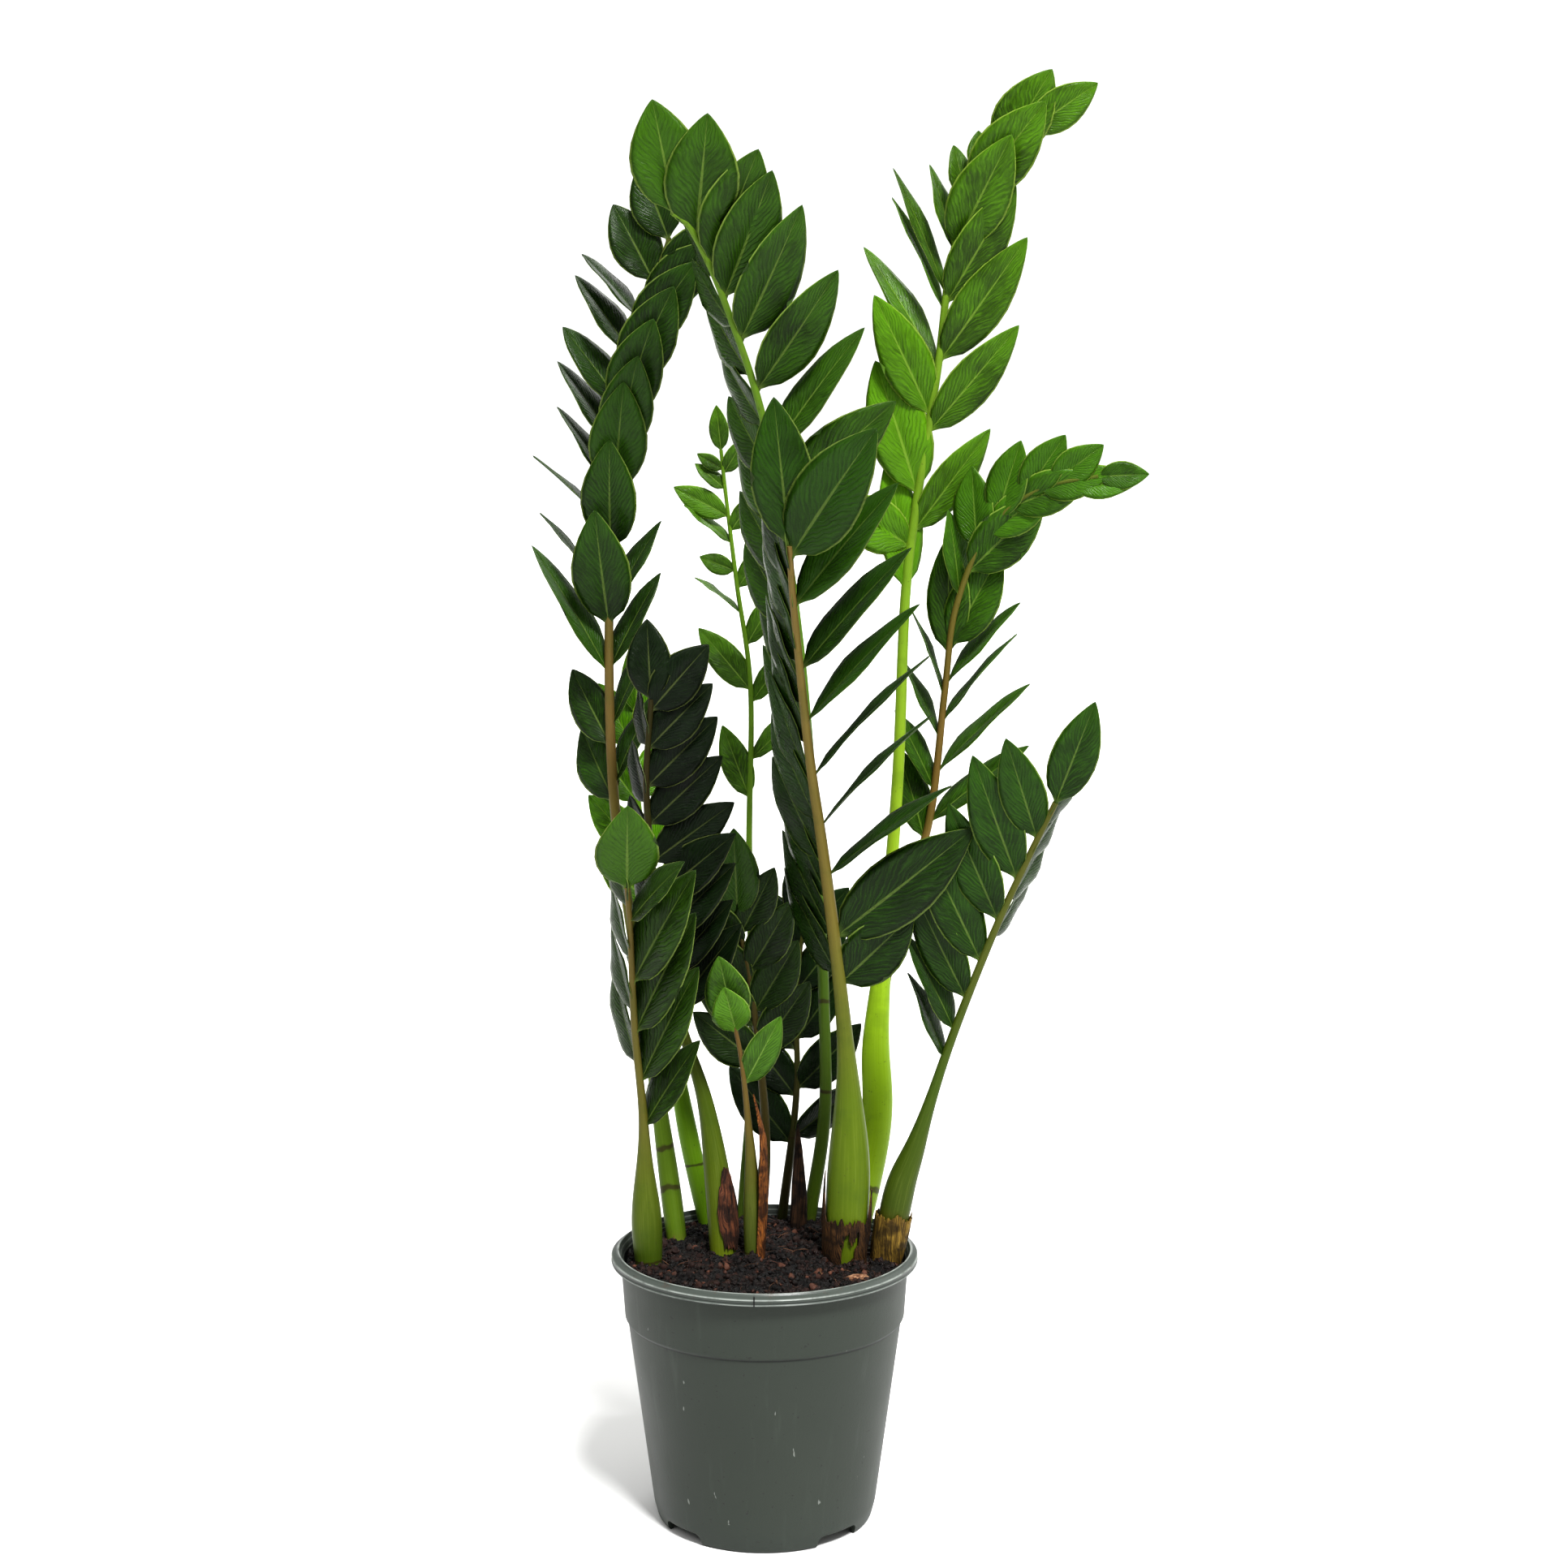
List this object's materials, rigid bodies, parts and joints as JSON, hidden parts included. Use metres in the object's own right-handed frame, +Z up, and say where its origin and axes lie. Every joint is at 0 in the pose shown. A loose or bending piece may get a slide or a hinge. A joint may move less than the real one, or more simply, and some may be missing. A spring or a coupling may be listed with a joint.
{
  "type": "potted zz plant",
  "caption": "Upright house plant of arching fronds with alternate pointed leaflets on swollen stalks, in dark peat in a round tapered plastic nursery pot.",
  "frame": {"origin": "middle of the pot's underside, on the flat centre pad that the pot stands on", "axes": "+Z up along the pot's axis, -Y towards the picture's viewer, +X to the viewer's right"},
  "size_m": [0.385, 0.2726, 0.8933],
  "materials": {
    "pot": "satin",
    "soil": "matte",
    "foliage_green": "satin",
    "foliage_bright": "satin",
    "foliage_dark": "satin",
    "dry_sheath": "matte",
    "bark": "matte",
    "rhizome": "matte"
  },
  "bodies": {
    "root": {"pot": "pot", "soil": "soil", "frond_front": "foliage_green", "frond_arching_left": "foliage_green", "frond_tall_left": "foliage_green", "frond_low_left": "foliage_green", "frond_dark_left": "foliage_dark", "frond_back_left": "foliage_bright", "frond_young": "foliage_bright", "frond_dark_centre": "foliage_dark", "frond_back_centre": "foliage_dark", "frond_tall_right": "foliage_bright", "frond_mid_right": "foliage_green", "frond_low_right": "foliage_green", "frond_thin_back": "foliage_bright", "sheath_front": "dry_sheath", "sheath_low_right": "dry_sheath", "sheath_dark_left": "dry_sheath", "sheath_young": "dry_sheath", "sheath_spent": "dry_sheath", "bark_chip": "bark", "rhizome_left": "rhizome", "rhizome_right": "rhizome", "rhizome_back": "rhizome"}
  },
  "joints": []
}
